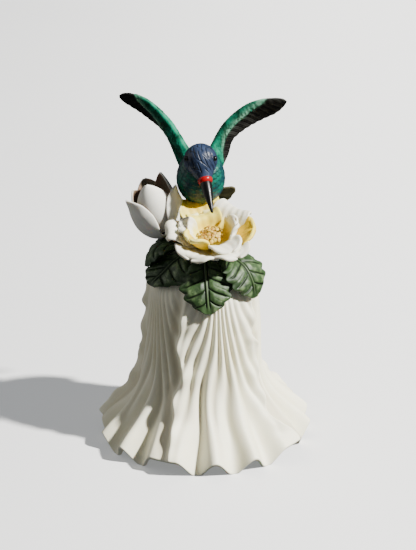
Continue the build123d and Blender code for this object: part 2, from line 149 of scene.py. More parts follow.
def make_piece(name, points, faces, uv, tints, material, body, stands_for):
    """A smooth mesh piece. tints are named numbers per vertex for its material's masks."""
    mesh = bpy.data.meshes.new(name)
    mesh.from_pydata((points * MM).tolist(), [], faces)
    layer = mesh.uv_layers.new(name="UVMap")
    corners = np.empty(len(mesh.loops), np.int32)
    mesh.loops.foreach_get("vertex_index", corners)
    layer.data.foreach_set("uv", uv[corners].ravel().astype(np.float32))
    for tint, values in tints.items():
        layer = mesh.attributes.new(tint, "FLOAT", "POINT")
        layer.data.foreach_set("value", np.asarray(values, np.float32).ravel())
    mesh.shade_smooth()
    mesh.materials.append(material)
    mesh.validate()
    piece = add_object(name, mesh)
    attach(piece, body)
    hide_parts(*stands_for)


def unit_grid(rows, columns, left=0):
    """u from 0 to 1 down a grid's rows and v from left to 1 across its columns."""
    return np.meshgrid(np.linspace(0, 1, rows), np.linspace(left, 1, columns), indexing="ij")


def grid_faces(rows, columns, wrap_rows=False, wrap_columns=False, flip=False):
    """Quads of a grid of vertices, closed round its rows or columns where asked."""
    r = np.arange(rows if wrap_rows else rows - 1)
    c = np.arange(columns if wrap_columns else columns - 1)
    r, c = np.meshgrid(r, c, indexing="ij")
    down, right = (r + 1) % rows, (c + 1) % columns
    quads = np.stack([r * columns + c, down * columns + c, down * columns + right, r * columns + right], -1)
    quads = quads.reshape(-1, 4)
    return (quads[:, ::-1] if flip else quads).tolist()


def grid_normals(points):
    """Unit normals of a grid of points."""
    down = np.gradient(points, axis=0)
    right = np.gradient(points, axis=1)
    normal = np.cross(down, right)
    return normal / np.maximum(np.linalg.norm(normal, axis=-1, keepdims=True), TINY)


def closed_sheet(middle, thickness, relief, edge=3.0, under=0.0, tip=0.0):
    """Points and faces of a thin closed body round a middle surface, with a rounded rim.

    middle, thickness and relief are grids: rows run along the sheet and columns across it. relief raises
    the upper side, which the grid's normals point to, and under the lower one. edge sets how square the rim
    is. tip is the length over which the far end rounds off, as a share of the rows.
    """
    rows, columns = middle.shape[:2]
    across = np.linspace(-1, 1, columns)
    rounded = (1 - np.abs(across) ** edge) ** (1 / edge)
    rounded = np.broadcast_to(rounded, (rows, columns))
    if tip:
        beyond = np.clip((np.linspace(0, 1, rows) - 1 + tip) / tip, 0, 1)
        rounded = rounded * np.sqrt(1 - 0.97 * beyond**2)[:, None]
    normal = grid_normals(middle)
    half = thickness / 2 * rounded
    upper = middle + normal * (half + relief * rounded)[..., None]
    lower = middle - normal * (half + under * rounded)[..., None]
    ring = np.concatenate([upper, lower[:, -2:0:-1]], axis=1)
    faces = grid_faces(rows, ring.shape[1], wrap_columns=True, flip=True)
    first = list(range(ring.shape[1]))
    last = [(rows - 1) * ring.shape[1] + i for i in first]
    return ring.reshape(-1, 3), faces + [first[::-1], last]


def fold(grid):
    """A per-point grid of the middle surface, copied to both sides of the closed sheet."""
    return np.concatenate([grid, grid[:, -2:0:-1]], axis=1).reshape(-1, *grid.shape[2:])


def sheet_piece(name, middle, thickness, relief, tints, material, slot, stands_for, **shape):
    """A closed sheet as a piece of the bell. tints are masks on the middle surface's grid."""
    points, faces = closed_sheet(middle, thickness, relief, **shape)
    rows, columns = middle.shape[:2]
    uv = fold(np.stack(unit_grid(rows, columns), -1))
    side = np.concatenate([np.ones((rows, columns)), np.zeros((rows, columns - 2))], axis=1)
    masks = {key: fold(np.broadcast_to(value, middle.shape[:2])) for key, value in tints.items()}
    masks["upper"] = side.reshape(-1)
    make_piece(name, points, faces, uv, masks, material, "bell", stands_for)


# ---- Materials ----


class Shader:
    """A material's node tree, with short calls for the nodes that the looks are made of."""

    def __init__(self, name):
        self.material = bpy.data.materials.new(name)
        self.material.use_nodes = True
        self.tree = self.material.node_tree
        self.tree.nodes.clear()
        output = self.node("OutputMaterial")
        self.surface = self.node("BsdfPrincipled")
        self.tree.links.new(self.surface.outputs["BSDF"], output.inputs["Surface"])
        self.place = self.node("TexCoord")

    def node(self, kind):
        return self.tree.nodes.new("ShaderNode" + kind)

    def put(self, value, socket):
        """Link a node's output to a socket, or set a constant on it."""
        if isinstance(value, bpy.types.NodeSocket):
            self.tree.links.new(value, socket)
        elif isinstance(value, (tuple, list)) and len(value) == 3 and socket.type == "RGBA":
            socket.default_value = (*value, 1)
        else:
            socket.default_value = value

    def set(self, **values):
        for key, value in values.items():
            self.put(value, self.surface.inputs[key.replace("_", " ")])

    def mask(self, name):
        """A number that the piece's vertices carry."""
        node = self.node("Attribute")
        node.attribute_name = name
        return node.outputs["Fac"]

    def noise(self, scale, detail):
        """Noise that is even all round a piece."""
        node = self.node("TexNoise")
        self.put(self.place.outputs["Object"], node.inputs["Vector"])
        for key, value in (("Scale", scale), ("Detail", detail), ("Roughness", 0.55)):
            node.inputs[key].default_value = value
        return node.outputs["Fac"]

    def stretched_noise(self, factors, detail, distortion):
        """Noise drawn out along a piece, by factors on its UV map."""
        spread = self.node("Mapping")
        self.put(self.place.outputs["UV"], spread.inputs["Vector"])
        spread.inputs["Scale"].default_value = factors
        node = self.node("TexNoise")
        self.put(spread.outputs["Vector"], node.inputs["Vector"])
        for key, value in (("Scale", 1), ("Detail", detail), ("Distortion", distortion)):
            node.inputs[key].default_value = value
        return node.outputs["Fac"]

    def math(self, operation, a, b, clamp=False):
        node = self.node("Math")
        node.operation = operation
        node.use_clamp = clamp
        self.put(a, node.inputs[0])
        self.put(b, node.inputs[1])
        return node.outputs[0]

    def remap(self, value, start, end, low=0.0, high=1.0):
        node = self.node("MapRange")
        node.interpolation_type = "SMOOTHSTEP"
        for index, item in enumerate((value, start, end, low, high)):
            self.put(item, node.inputs[index])
        return node.outputs[0]

    def cloud(self, scale, detail, start, end, low=0.0, high=1.0):
        return self.remap(self.noise(scale, detail), start, end, low, high)

    def mix(self, factor, a, b):
        node = self.node("Mix")
        node.data_type = "RGBA"
        self.put(factor, node.inputs["Factor"])
        self.put(a, node.inputs["A"])
        self.put(b, node.inputs["B"])
        return node.outputs["Result"]

    def bump(self, height, distance, strength, under=None):
        node = self.node("Bump")
        node.inputs["Distance"].default_value = distance * MM
        node.inputs["Strength"].default_value = strength
        self.put(height, node.inputs["Height"])
        if under is not None:
            self.put(under, node.inputs["Normal"])
        return node.outputs["Normal"]


def bisque(name, colour, shade):
    """Unglazed porcelain: nearly matte, with a fine tooth, faint clouds and a little light inside."""
    look = Shader(name)
    clouded = look.mix(look.cloud(90, 5, 0.3, 0.7), shade, colour)
    look.set(Base_Color=clouded)
    look.set(Roughness=look.cloud(1400, 3, 0.2, 0.8, 0.5, 0.64))
    look.set(Subsurface_Weight=0.12, Subsurface_Radius=(0.0016, 0.0012, 0.0008), Subsurface_Scale=1.0)
    look.set(Specular_IOR_Level=0.35)
    fine = look.bump(look.noise(2600, 3), 0.05, 0.35)
    look.set(Normal=look.bump(look.noise(260, 3), 0.1, 0.3, fine))
    return look, clouded


def bell_look():
    """Cream bisque, with painted shade that deepens its colour where its folds close up and under the petal
    edges.
    """
    look, cream = bisque("bell_bisque", (0.91, 0.885, 0.7), (0.88, 0.85, 0.65))
    # The crease mask paints shade into the colour: a warm darker tone where the grooves are cut deepest.
    look.set(Base_Color=look.mix(look.math("MULTIPLY", look.mask("crease"), 0.7), cream, (0.46, 0.41, 0.27)))
    return look.material


def petal_look():
    """White bisque with golden yellow airbrushed where the mask is high, paler at its fringe."""
    look, white = bisque("petal_bisque", (0.84, 0.82, 0.69), (0.8, 0.77, 0.62))
    brushed = look.math("ADD", look.mask("gold"), look.cloud(420, 4, 0.2, 0.8, -0.13, 0.13))
    pale = look.mix(look.remap(brushed, 0.05, 0.55), white, (0.83, 0.71, 0.13))
    gold = look.mix(look.remap(brushed, 0.55, 1.0), pale, (0.74, 0.5, 0.008))
    look.set(Base_Color=gold)
    return look.material


def bud_look():
    """White bisque outside. The inside of the petals is darkened to olive and brown: painted shade over a
    brownish tint of the paint.
    """
    look, white = bisque("bud_bisque", (0.85, 0.84, 0.76), (0.81, 0.795, 0.71))
    # Painted shade on the petals' inner faces, olive to brown, which also carries their brownish tint.
    facing_in = look.math("MULTIPLY", look.mask("inside"), look.mask("upper"))
    inside = look.math("ADD", facing_in, look.cloud(500, 4, 0.2, 0.8, -0.2, 0.2))
    olive = look.mix(look.cloud(300, 3, 0.3, 0.7), (0.16, 0.145, 0.095), (0.24, 0.14, 0.09))
    look.set(Base_Color=look.mix(look.remap(inside, 0.3, 0.9), white, olive))
    return look.material


def leaf_look():
    """Dark green paint, with a painted sage highlight on high places and painted shade, nearly black, in the
    incised veins.
    """
    look = Shader("leaf_paint")
    patches = look.cloud(150, 5, 0.32, 0.68)
    # Patches of painted highlight, laid in sage where the high mask is.
    highlight_patches = look.cloud(420, 4, 0.42, 0.78)
    green = look.mix(patches, (0.008, 0.026, 0.004), (0.03, 0.066, 0.018))
    light = look.mix(look.math("MULTIPLY", highlight_patches, look.mask("high"), True), green, (0.15, 0.22, 0.095))
    light = look.mix(look.math("MULTIPLY", look.mask("rib"), 0.5), light, (0.09, 0.13, 0.055))
    # Painted shade, nearly black, in the veins and the grooves beside the midrib.
    dark = look.mix(look.mask("vein"), light, (0.003, 0.008, 0.002))
    dark = look.mix(look.math("MULTIPLY", look.mask("rim"), 0.5), dark, (0.012, 0.028, 0.008))
    look.set(Base_Color=dark, Specular_IOR_Level=0.4)
    look.set(Roughness=look.cloud(700, 3, 0.3, 0.7, 0.42, 0.6))
    look.set(Normal=look.bump(look.noise(900, 4), 0.12, 0.4))
    return look.material


def feather_look(name, colours, glossy, barbs, mask=None, mask_colours=None, shine=0.3, pale=None):
    """Painted feathers: two tones in soft patches, with fine barbs along them.

    mask_colours take over where the mask is high, and pale is dabbed on where the piece's "light" mask is.
    """
    look = Shader(name)
    patches = look.cloud(200, 5, 0.35, 0.65)
    colour = look.mix(patches, *colours)
    if mask:
        other = look.mix(patches, *mask_colours)
        edge = look.math("ADD", look.mask(mask), look.cloud(380, 4, 0.2, 0.8, -0.18, 0.18))
        colour = look.mix(look.remap(edge, 0.35, 0.65), colour, other)
    lines = look.stretched_noise(barbs, 2, 0.4)
    colour = look.mix(look.remap(lines, 0.5, 0.75, 0, 0.4), colour, tuple(0.35 * c for c in colours[0]))
    colour = look.mix(look.mask("groove"), colour, tuple(0.22 * c for c in colours[0]))
    if pale:
        dabs = look.math("MULTIPLY", look.mask("light"), look.cloud(300, 4, 0.35, 0.6), True)
        colour = look.mix(dabs, colour, pale)
    look.set(Base_Color=colour, Specular_IOR_Level=shine)
    look.set(Roughness=look.cloud(800, 3, 0.3, 0.7, glossy, glossy + 0.14))
    look.set(Normal=look.bump(lines, 0.12, 0.6, look.bump(look.noise(700, 4), 0.1, 0.35)))
    return look.material


def enamel(name, colour, dark, roughness):
    """Glossy paint or glaze in two close tones."""
    look = Shader(name)
    look.set(Base_Color=look.mix(look.cloud(240, 4, 0.3, 0.7), dark, colour))
    look.set(Roughness=look.cloud(900, 3, 0.3, 0.7, roughness, roughness + 0.1))
    look.set(Coat_Weight=0.06, Coat_Roughness=0.1, Specular_IOR_Level=0.2)
    look.set(Normal=look.bump(look.noise(500, 4), 0.06, 0.4))
    return look.material


def brass_look():
    look = Shader("clapper_brass")
    tarnish = look.cloud(400, 4, 0.35, 0.7)
    look.set(Base_Color=look.mix(tarnish, (0.42, 0.28, 0.12), (0.75, 0.56, 0.27)))
    look.set(Metallic=1.0, Roughness=look.cloud(900, 4, 0.3, 0.7, 0.25, 0.45))
    look.set(Normal=look.bump(look.noise(1500, 3), 0.03, 0.3))
    return look.material


# ---- The bell ----

TUBE_X = -1.1  # the bell's axis stands a little to the left of the frame's
TUBE = Base((TUBE_X, 0, 0))
TUBE_RADIUS = 20.2
SHOULDER_HEIGHT = 58.0
DOME_HEIGHT = 16.0
WALL = 2.0  # thickness
FLARE = 18.6  # how far the hem stands out from the tube
FLARE_HEIGHT = 11.0
FLARE_SPREAD = 6.5
RUFFLE = 2.7  # how far the hem's waves move the wall either way
RUFFLE_TOP = 42.0  # the waves die out at this height
HEM_CREST = 2.6  # how much higher the crests of the hem stand
# Azimuths of the skirt petals' edges, and which way each edge faces.
SEAMS = (-94.0, -22.0, 57.0, 127.0, 196.0, 266.0)
SEAM_SIDES = (-1, 1, -1, 1, -1)
SEAM_LIP = 1.9  # how far a petal's edge stands out
LEFT_BULGE = 2.4
RIGHT_WAIST = 2.0
BEAD_ROOM = 0.6  # depth of the hollows that the swung bead needs
DEEPEST = 1.15  # of any groove, well short of the wall's thickness
# How each edge wanders in degrees, at heights up the wall.
SEAM_WANDER = (
    [(0, 3), (12, -2), (22, 2.5), (30, -2), (39, 2), (48, -2.5), (57, 1.5), (66, 0)],
    [(0, 3), (7, 2), (15, 0), (24.5, -3), (33, 2.5), (41, -3.5), (52, -1), (61, 2), (66, 0)],
    [
        (0, 3), (7, 3), (11, -2), (15, -4), (22, -1), (30, 1),
        (37, 3), (41, 5), (45, -2), (50, 1), (58, 0), (66, 0),
    ],
    [(0, -2), (9, 2), (18, -3), (27, 2), (36, -2), (44, 3), (53, -1), (66, 0)],
    [(0, 2), (10, -3), (20, 2), (28, -2), (38, 3), (47, -2), (58, 2), (66, 0)],
)
SEAM_TOP = 66
FOLDS_PER_PETAL = 7.6
FAN_SPREAD = [(0, 1.05), (22, 1.0), (34, 0.78), (46, 0.56), (56, 0.38), (66, 0.25)]
FAN_DEPTH = [(0, 0.1), (8, 0.35), (20, 0.95), (40, 0.95), (52, 0.65), (64, 0.1)]
WAVES_PER_PETAL = 3.7
WAVE_PLATEAU = 0.405  # past this share of a petal's width the hem keeps its height


def flare(height):
    """How far the trumpet has opened, towards 1 at the hem."""
    return 1 / (1 + np.exp((height - FLARE_HEIGHT) / FLARE_SPREAD))


def tube_profile(height):
    """Radius of the even wall at a height."""
    return TUBE_RADIUS + 0.06 * (SHOULDER_HEIGHT + 2 - height) + FLARE * flare(height)


def petal_place(azimuth):
    """Place across the skirt petal at an azimuth, from -0.5 to 0.5."""
    turned = (azimuth - SEAMS[0]) % 360 + SEAMS[0]
    starts = np.array(SEAMS[:-1])
    widths = np.diff(SEAMS)
    index = np.clip(np.searchsorted(SEAMS, turned, side="right") - 1, 0, len(widths) - 1)
    return (turned - starts[index]) / widths[index] - 0.5


def crease(phase):
    """Rounded folds one apart in phase, with narrow creases between them, from -1 to about 0.4."""
    swell = 0.5 * np.cos(2 * math.pi * phase)
    return swell - 0.45 * ridge(phase % 1 - 0.5, 0.16)


def petal_fan(azimuth, height):
    """Folds that spread down a skirt petal from a point near its top, each petal from its own."""
    across = petal_place(azimuth)
    spread = across / along(FAN_SPREAD, np.clip(height, 0, 66))
    spread = spread + 0.035 * np.sin(height / 8.5 + 9 * across) * ramp(height, 4, 20)
    phase = FOLDS_PER_PETAL * spread / (1 + 0.55 * np.abs(spread))
    depth = along(FAN_DEPTH, np.clip(height, 0, 64))
    near_edge = 1 - ramp(np.abs(across), 0.42, 0.49)
    return depth * crease(phase + 0.1) * near_edge


def skirt_relief(azimuth, height):
    """How far the wall's folds and petal edges stand out from its even surface."""
    relief = petal_fan(azimuth, height)
    for (seam, side), wander in zip(zip(SEAMS[:-1], SEAM_SIDES), SEAM_WANDER):
        bends = along(wander, np.clip(height, 0, SEAM_TOP))
        ripple = 0.35 * np.sin(height * 0.6 + seam) * ramp(height, 6, 20)
        swing = (azimuth - seam + 180) % 360 - 180 - bends - ripple
        beyond = side * np.radians(swing) * tube_profile(height)
        swell = 1 + 0.28 * np.sin(height * 0.62 + 2 * seam)
        lip = SEAM_LIP * swell * ramp(beyond, -0.9, 0.9) * np.exp(-np.maximum(beyond - 1.0, 0) / 3.4)
        behind = 0.2 * ridge(beyond - 5.2, 2.2)
        under = 1.3 * ridge(beyond + 2.4, 1.6 + 1.2 * ridge(height - 16, 12))
        fade = ramp(68 - height, 0, 14) * (0.5 + 0.5 * ramp(height, 0, 9))
        relief = relief + (lip - behind - under) * fade
    # No groove may come through the inside of the wall.
    return np.where(relief < 0, DEEPEST * np.tanh(relief / DEEPEST), relief)


def skirt_rim(azimuth):
    """Wave of the hem at an azimuth: 1 where it touches the table, -1 at its crests."""
    across = np.abs(petal_place(azimuth))
    return np.cos(2 * math.pi * WAVES_PER_PETAL * np.minimum(across, WAVE_PLATEAU))


def bell_piece(material):
    """The skirt: outside, rounded hem, inside and the dome at both ends, as one closed grid of rings."""
    azimuth = np.linspace(-94, 266, 520, endpoint=False)
    heights = np.concatenate([np.linspace(2.1, 20, 60), np.linspace(20, SHOULDER_HEIGHT, 56)[1:]])
    columns, rows = np.meshgrid(azimuth, heights)
    reach = RUFFLE * np.clip((RUFFLE_TOP - rows) / RUFFLE_TOP, 0, 1) ** 1.5 * skirt_rim(columns)
    open_out = flare(rows) / flare(0)
    radius = tube_profile(rows) - 0.58 * reach + 1.1 * np.sin(np.radians(columns)) * open_out
    radius = radius + LEFT_BULGE * ridge(columns + 60, 19) * open_out**1.5
    radius = radius - RIGHT_WAIST * ridge(columns - 92, 30) * ridge(rows - 26, 11)
    wave = skirt_rim(columns)
    radius = radius - 0.45 * wave * ramp(rows, 1, 9) * ramp(40 - rows, 0, 26)
    level = rows - 0.9 * reach * open_out + HEM_CREST * (0.5 - 0.5 * wave) * open_out**3
    relief = skirt_relief(columns, rows)
    slope = (tube_profile(rows + 0.1) - tube_profile(rows - 0.1)) / 0.2
    lean = np.sqrt(1 + slope**2)
    out, up = 1 / lean, -slope / lean
    outer = TUBE.at(columns, radius + relief * out, level + relief * up)
    # Room for the clapper's bead where both of its joints are at their limits.
    swung = ridge((columns + 135) % 360 - 180, 40) + ridge((columns + 315) % 360 - 180, 40)
    inside = radius + BEAD_ROOM * swung * ridge(rows - 20, 12) - WALL * out
    inner = TUBE.at(columns, inside, level - WALL * up)
    # The hem is a rounded lip between the two sides.
    lip_rows = []
    for turn in np.linspace(0, math.pi, 9)[1:-1]:
        middle = (outer[0] + inner[0]) / 2
        half = (outer[0] - inner[0]) / 2
        down = TUBE.out(azimuth) * (-slope[0] * up[0] * 0.4)[:, None] - TUBE.z * out[0][:, None]
        lip_rows.append(middle + half * math.cos(turn) + unit(down) * math.sin(turn) * WALL * 0.42)
    domes, dome_reliefs = [], []
    for drop, order in ((0.0, 1), (WALL, -1)):
        angles = np.radians(np.linspace(0, 78.3, 22)[1:])[::order]
        rise = SHOULDER_HEIGHT + (DOME_HEIGHT - drop) * np.sin(angles)
        width = (tube_profile(SHOULDER_HEIGHT) - drop) * np.cos(angles)
        columns, rows = np.meshgrid(azimuth, rise)
        settle = skirt_relief(columns, rows) * ramp(order, 0, 1)
        dome_reliefs.append(settle)
        domes.append(TUBE.at(columns, width[:, None] + settle, rows))
    points = np.concatenate([domes[0][::-1], outer[::-1], lip_rows, inner, domes[1][::-1]])
    points[..., 2] = np.maximum(points[..., 2], 0.0)
    plain = np.zeros((len(lip_rows) + len(inner), len(azimuth)))
    cut = np.concatenate([dome_reliefs[0][::-1], relief[::-1], plain, 0 * dome_reliefs[1]])
    # crease is painted shade, following how deep the folds and the grooves under the petal edges are cut.
    tints = {"crease": np.clip(-cut / DEEPEST, 0, 1).ravel()}
    rows, columns = points.shape[:2]
    faces = grid_faces(rows, columns, wrap_rows=True, wrap_columns=True)
    uv = np.stack(unit_grid(rows, columns)[::-1], -1).reshape(-1, 2)
    flat = points.reshape(-1, 3)
    make_piece("bell", flat, faces, uv, tints, material, "bell", ["bell_skirt"])


# ---- Petals and leaves ----


def blade(base, azimuth, spine, widths, cup, rows=70, columns=61, ruffle=0.0, waves=3.0, phase=0.0, roll=0.0):
    """Middle surface of a petal or leaf: its spine is (out, up) points and cup lifts its edges.

    ruffle waves its edges and roll turns them down. Returns the grid, with u along it, v across from -1 to 1
    and its half width.
    """
    u, v = np.meshgrid(1 - (1 - np.linspace(0, 1, rows)) ** 1.5, np.linspace(-1, 1, columns), indexing="ij")
    v = np.sin(v * math.pi / 2) * 0.35 + v * 0.65
    spot = through(spine, u)
    ahead = heading(spine, u)
    half = along(widths, u)
    lift = along(cup, u) * v**2 - roll * ramp(np.abs(v), 0.6, 1.0) * ramp(u, 0.2, 0.6)
    lift = lift + ruffle * np.sin(waves * math.pi * u + phase + np.sign(v) * 1.1) * np.abs(v) ** 2.5
    out = spot[..., 0] - ahead[..., 1] * lift
    up = spot[..., 1] + ahead[..., 0] * lift
    direction = base.out(np.array(float(azimuth)))
    side = np.cross(base.z, direction)
    points = base.origin + direction * out[..., None] + base.z * up[..., None] + side * (v * half)[..., None]
    return points, u, v, half


FLOWER_TILT = math.radians(21.0)
FLOWER = Base((1.9, -5.0, 76.6), (0, -math.sin(FLOWER_TILT), math.cos(FLOWER_TILT)))
OUTER_WIDTHS = [(0, 1.4), (0.12, 2.4), (0.4, 5.6), (0.66, 7.9), (0.84, 7.4), (0.95, 4.8), (1, 0.6)]
OUTER_CUP = [(0, 0.3), (0.4, 0.9), (0.75, 1.7), (1, 1.6)]


def outer_petal(name, azimuth, level, broad, long, curl, gold, material, **shape):
    """An open petal. long scales its reach, curl drops its rolled rim and gold is a mask made from (u, v)."""
    spine = [(2.0, level), (7.5 * long, level + 1.7), (12.5 * long, level + 4.6), (16.2 * long, level + 7.0)]
    spine += [(17.6 * long, level + 7.4 - 0.2 * curl), (18.3 * long, level + 6.8 - curl)]
    widths = [(place, width * broad) for place, width in OUTER_WIDTHS]
    points, u, v, half = blade(FLOWER, azimuth, spine, widths, OUTER_CUP, **shape)
    thickness = 1.25 + 0.45 * ramp(u, 0.7, 0.93)
    veins = 0.1 * np.sin(v * 17 + 2 * np.sin(u * 3)) * ramp(u, 0.15, 0.5) * ramp(1 - u, 0, 0.2)
    masks = {"gold": gold(u, v)}
    sheet_piece(name, points, thickness, veins, masks, material, "petal_bisque", [name], edge=3.2, tip=0.16)


def inner_petal(name, azimuth, broad, tall, outside, lean, gold, material, **shape):
    """A standing petal of the cup. outside is 1 for one behind its neighbours, and lean tips it outwards."""
    start = 0.6 * outside
    spine = [(2.0, 3.0), (5.2 + start, 4.0), (8.0 + start + 0.5 * lean, 7.2)]
    spine += [(8.9 + start + lean, 7.2 + 3.4 * tall), (9.9 + start + 1.8 * lean, 7.2 + 5.2 * tall)]
    spine += [(10.9 + start + 2.2 * lean, 7.2 + 5.3 * tall)]
    widths = [(0, 1.2), (0.15, 2.6), (0.45, 5.2), (0.72, 6.1), (0.88, 5.0), (0.96, 3.2), (1, 1.0)]
    widths = [(place, width * broad) for place, width in widths]
    cup = [(0, 0.3), (0.4, 1.4), (0.75, 2.7), (1, 1.6)]
    points, u, v, half = blade(FLOWER, azimuth, spine, widths, cup, **shape)
    thickness = 1.3 + 0.4 * ramp(u, 0.6, 0.9)
    veins = 0.08 * np.sin(v * 13 + 2 * np.sin(u * 3)) * ramp(u, 0.15, 0.5) * ramp(1 - u, 0, 0.2)
    masks = {"gold": gold(u, v)}
    sheet_piece(name, points, thickness, veins, masks, material, "petal_bisque", [name], edge=3.0, tip=0.16)


def gold_heart(strength, reach=0.5):
    """Gold at the foot of the petal, fading out at reach."""
    return lambda u, v: strength * (1 - ramp(u, 0.1, reach))


def gold_band(strength, start, end, heart=0.4):
    """Gold from start to end of the petal's length, fading to both sides, over a fainter heart."""
    middle, width = (start + end) / 2, (end - start) / 2
    return lambda u, v: np.maximum(
        strength * np.exp(-(((u - middle) / width) ** 4)) * (1 - 0.35 * v**2), heart * (1 - ramp(u, 0.1, 0.5))
    )


def flower(material):
    # Azimuth, height of the foot, breadth, reach, droop of the rim and where the gold is.
    outer = (
        ("front", -28, -0.3, 1.08, 0.84, 0.4, gold_heart(0.4), {"ruffle": 0.3, "waves": 2}),
        ("front_right", 34, 0.4, 0.98, 0.88, 0.4, gold_heart(0.4), {"ruffle": 0.3, "waves": 2, "phase": 1}),
        ("right", 88, 1.0, 0.95, 0.86, -1.2, gold_band(1.35, 0.45, 1.05), {"ruffle": 0.1}),
        ("back_right", 143, 0.9, 0.92, 0.82, 1.8, gold_heart(1.0, 0.8), {"ruffle": 0.1}),
        ("back_left", -160, 1.6, 1.0, 0.98, 2.6, gold_band(0.95, 0.45, 1.3, 0.1), {"ruffle": 0.15}),
        ("left", -86, 0.9, 0.72, 0.84, 1.6, gold_heart(0.3), {"ruffle": 0.25, "roll": 0.5}),
    )
    for place, azimuth, level, broad, long, curl, gold, shape in outer:
        outer_petal(f"petal_outer_{place}", azimuth, level, broad, long, curl, gold, material, **shape)
    inner_petal("petal_inner_front", -42, 0.85, 0.62, 1, 0.2, gold_band(1.3, 0.0, 1.0, 0.8), material)
    inner_petal("petal_inner_front_right", 30, 0.98, 0.12, 0, 1.6, gold_heart(0.6), material, ruffle=0.15)
    inner_petal("petal_inner_right", 98, 1.02, 0.5, 1, -0.9, gold_heart(1.3, 1.0), material)
    inner_petal("petal_inner_back", -158, 1.05, -0.1, 1, -0.3, gold_heart(1.0, 1.5), material, ruffle=0.15)
    inner_petal("petal_inner_left", -92, 0.78, 0.25, 0, 0.3, gold_heart(0.8, 0.9), material)


BUD = Base((-14.6, 6.6, 77.6), (-0.34, -0.04, 0.94))
BUD_TALL = {"outer": (1.0, 0.92, 1.0), "inner": (1.0, 0.96, 0.84)}  # each petal's share of its full height


def bud(material):
    outer_spine = [(0.8, -0.2), (5.4, 1.4), (8.8, 6.0), (9.8, 11.5), (9.9, 16.0), (10.6, 19.4)]
    inner_spine = [(0.8, 1.6), (4.8, 3.6), (7.4, 8.6), (8.0, 14.5), (7.6, 19.0), (6.9, 22.6)]
    widths = [(0, 1.5), (0.2, 4.7), (0.42, 6.9), (0.62, 6.7), (0.8, 5.2), (0.91, 3.4), (0.97, 1.8), (1, 0.4)]
    cup = [(0, 0.5), (0.25, 1.7), (0.5, 3.3), (0.75, 2.9), (0.9, 1.6), (1, 0.5)]
    for index in range(3):
        for spine, kind, turn in ((outer_spine, "outer", -50), (inner_spine, "inner", 5)):
            name = f"bud_petal_{kind}_{index + 1}"
            tall = BUD_TALL[kind][index]
            reach = [(out, tall * height) for out, height in spine]
            azimuth = turn + 120 * index
            points, u, v, half = blade(BUD, azimuth, reach, widths, cup, ruffle=0.2, waves=3, phase=index)
            thickness = 1.2 - 0.35 * ramp(u, 0.6, 1)
            # inside marks where the painted shade goes on the petals' inner faces.
            masks = {"inside": ramp(u, 0.05, 0.3)}
            sheet_piece(name, points, thickness, 0 * u, masks, material, "bud_bisque", [name])


LEAF_SPACING = 4.3  # between side veins


def leaf(name, azimuth, spine, material, broad=1.0, sway=0.0, phase=0.0):
    """A lobed leaf with a midrib between two grooves and incised side veins. sway bends its tip sideways."""
    widths = [(0, 2.4), (0.18, 6.0), (0.42, 8.8), (0.64, 8.9), (0.8, 7.0), (0.92, 4.1), (1, 1.2)]
    cup = [(0, -0.3), (0.35, -1.0), (0.6, -1.3), (0.85, -0.7), (1, 0)]
    widths = [(place, width * broad) for place, width in widths]
    points, u, v, half = blade(TUBE, azimuth, spine, widths, cup, 160, 121)
    side = np.cross(TUBE.z, TUBE.out(np.array(float(azimuth))))
    length = float(np.linalg.norm(np.diff(np.array(spine), axis=0), axis=1).sum())
    # Each side vein leaves the midrib and sweeps towards the tip, and the outline bulges between veins.
    across = np.abs(v * half)
    run = (u * length - across * 0.85 + 0.045 * across**2 + 0.35 * np.sign(v)) / LEAF_SPACING + phase
    drift = 0.05 * np.sin(across * 0.9 + 5 * phase + 3 * np.sign(v))
    bulge = np.abs(np.sin(math.pi * (run + 0.5)))
    shift = half * v * np.abs(v) ** 5 * (0.22 * bulge - 0.16) * ramp(u, 0.1, 0.3) * ramp(1 - u, 0.0, 0.12)
    points = points + side * shift[..., None] + side * (sway * u**2)[..., None]
    cut = (run + drift + 0.5) % 1 - 0.5
    inward = 1 - np.abs(v)
    vein = ridge(cut, 0.06) * ramp(across, 0.5, 1.2) * ramp(inward, 0.06, 0.3)
    finer = ridge((run * 2 + drift + 0.5) % 1 - 0.5, 0.1) * ramp(across, 2.2, 3.4) * ramp(inward, 0.02, 0.2)
    vein = (vein + 0.18 * finer) * ramp(u, 0.02, 0.1) * ramp(1 - u, 0.04, 0.12)
    grooves = ridge(across - 0.62, 0.2) * ramp(1 - u, 0.06, 0.2)
    rib = ridge(across, 0.34) * ramp(1 - u, 0.02, 0.2)
    quilt = np.abs(np.sin(math.pi * (run + drift))) ** 0.6 * ramp(across, 0.6, 2.4) * ramp(inward, 0, 0.35)
    relief = 0.5 * quilt - 0.45 * vein - 0.5 * grooves + 0.2 * rib
    thickness = 1.5 - 0.4 * ramp(np.abs(v), 0.7, 1)
    # high places get the painted highlight, and the veins and grooves get the painted shade.
    masks = {
        "vein": np.clip(vein + grooves, 0, 1),
        "rib": rib,
        "high": np.clip(quilt * 1.1, 0, 1),
        "rim": ramp(np.abs(v), 0.88, 1.0),
    }
    sheet_piece(name, points, thickness, relief, masks, material, "leaf_green", [name], edge=5.0, tip=0.05)


# (out, up) points from the stem, which each leaf continues to its tip.
DRAPED = [(8.8, 73.6), (13.9, 71.6), (18.4, 67.6), (21.4, 62.2)]
HELD_OUT = [(8.8, 73.8), (14.0, 73.4), (18.7, 71.4), (21.8, 66.4)]
ARCHED = [(8.8, 75.2), (14.0, 75.8), (17.7, 73.8), (20.0, 70.4), (20.8, 66.8)]


